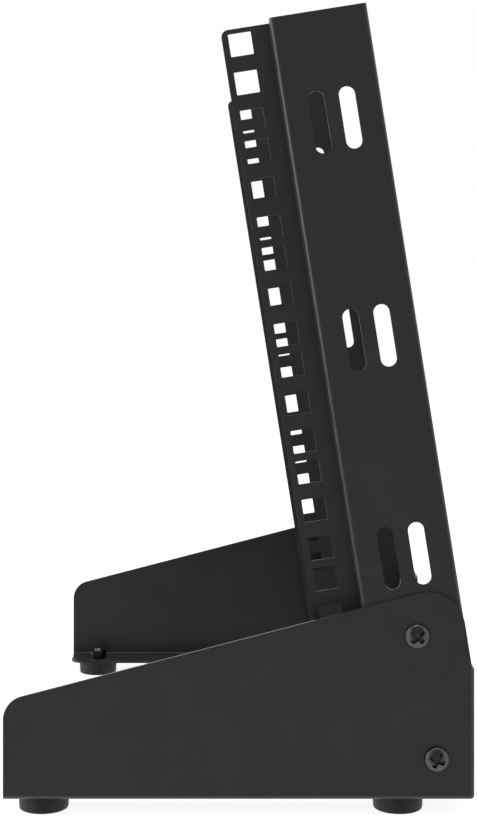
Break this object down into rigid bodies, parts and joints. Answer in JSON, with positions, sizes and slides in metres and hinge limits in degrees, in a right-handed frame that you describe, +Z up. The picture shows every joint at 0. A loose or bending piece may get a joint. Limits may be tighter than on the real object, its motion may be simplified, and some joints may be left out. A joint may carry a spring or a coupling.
{
  "type": "desktop data rack",
  "caption": "Half-width open-frame desktop rack: two rails of square holes lean back on a low folded base with sloped side plates and rubber feet.",
  "frame": {"origin": "on the surface the rack stands on, under the middle of its bounding box", "axes": "+X to the rack's right, -Y to its front, +Z up"},
  "size_m": [0.263, 0.1924, 0.3274],
  "materials": {
    "powder_coat": "fine matt powder coat",
    "black_screw": "black zinc",
    "rubber": "matt moulded"
  },
  "bodies": {
    "root": {"front_cross_panel": "powder_coat", "left_base_plate": "powder_coat", "left_front_foot": "rubber", "left_front_foot_nut": "black_screw", "left_front_foot_screw": "black_screw", "left_lower_panel_nut": "black_screw", "left_lower_panel_screw": "black_screw", "left_lower_rail_nut": "black_screw", "left_lower_rail_screw": "black_screw", "left_rail": "powder_coat", "left_rear_foot": "rubber", "left_rear_foot_nut": "black_screw", "left_rear_foot_screw": "black_screw", "left_upper_panel_nut": "black_screw", "left_upper_panel_screw": "black_screw", "left_upper_rail_nut": "black_screw", "left_upper_rail_screw": "black_screw", "right_base_plate": "powder_coat", "right_front_foot": "rubber", "right_front_foot_nut": "black_screw", "right_front_foot_screw": "black_screw", "right_lower_panel_nut": "black_screw", "right_lower_panel_screw": "black_screw", "right_lower_rail_nut": "black_screw", "right_lower_rail_screw": "black_screw", "right_rail": "powder_coat", "right_rear_foot": "rubber", "right_rear_foot_nut": "black_screw", "right_rear_foot_screw": "black_screw", "right_upper_panel_nut": "black_screw", "right_upper_panel_screw": "black_screw", "right_upper_rail_nut": "black_screw", "right_upper_rail_screw": "black_screw"}
  },
  "joints": []
}
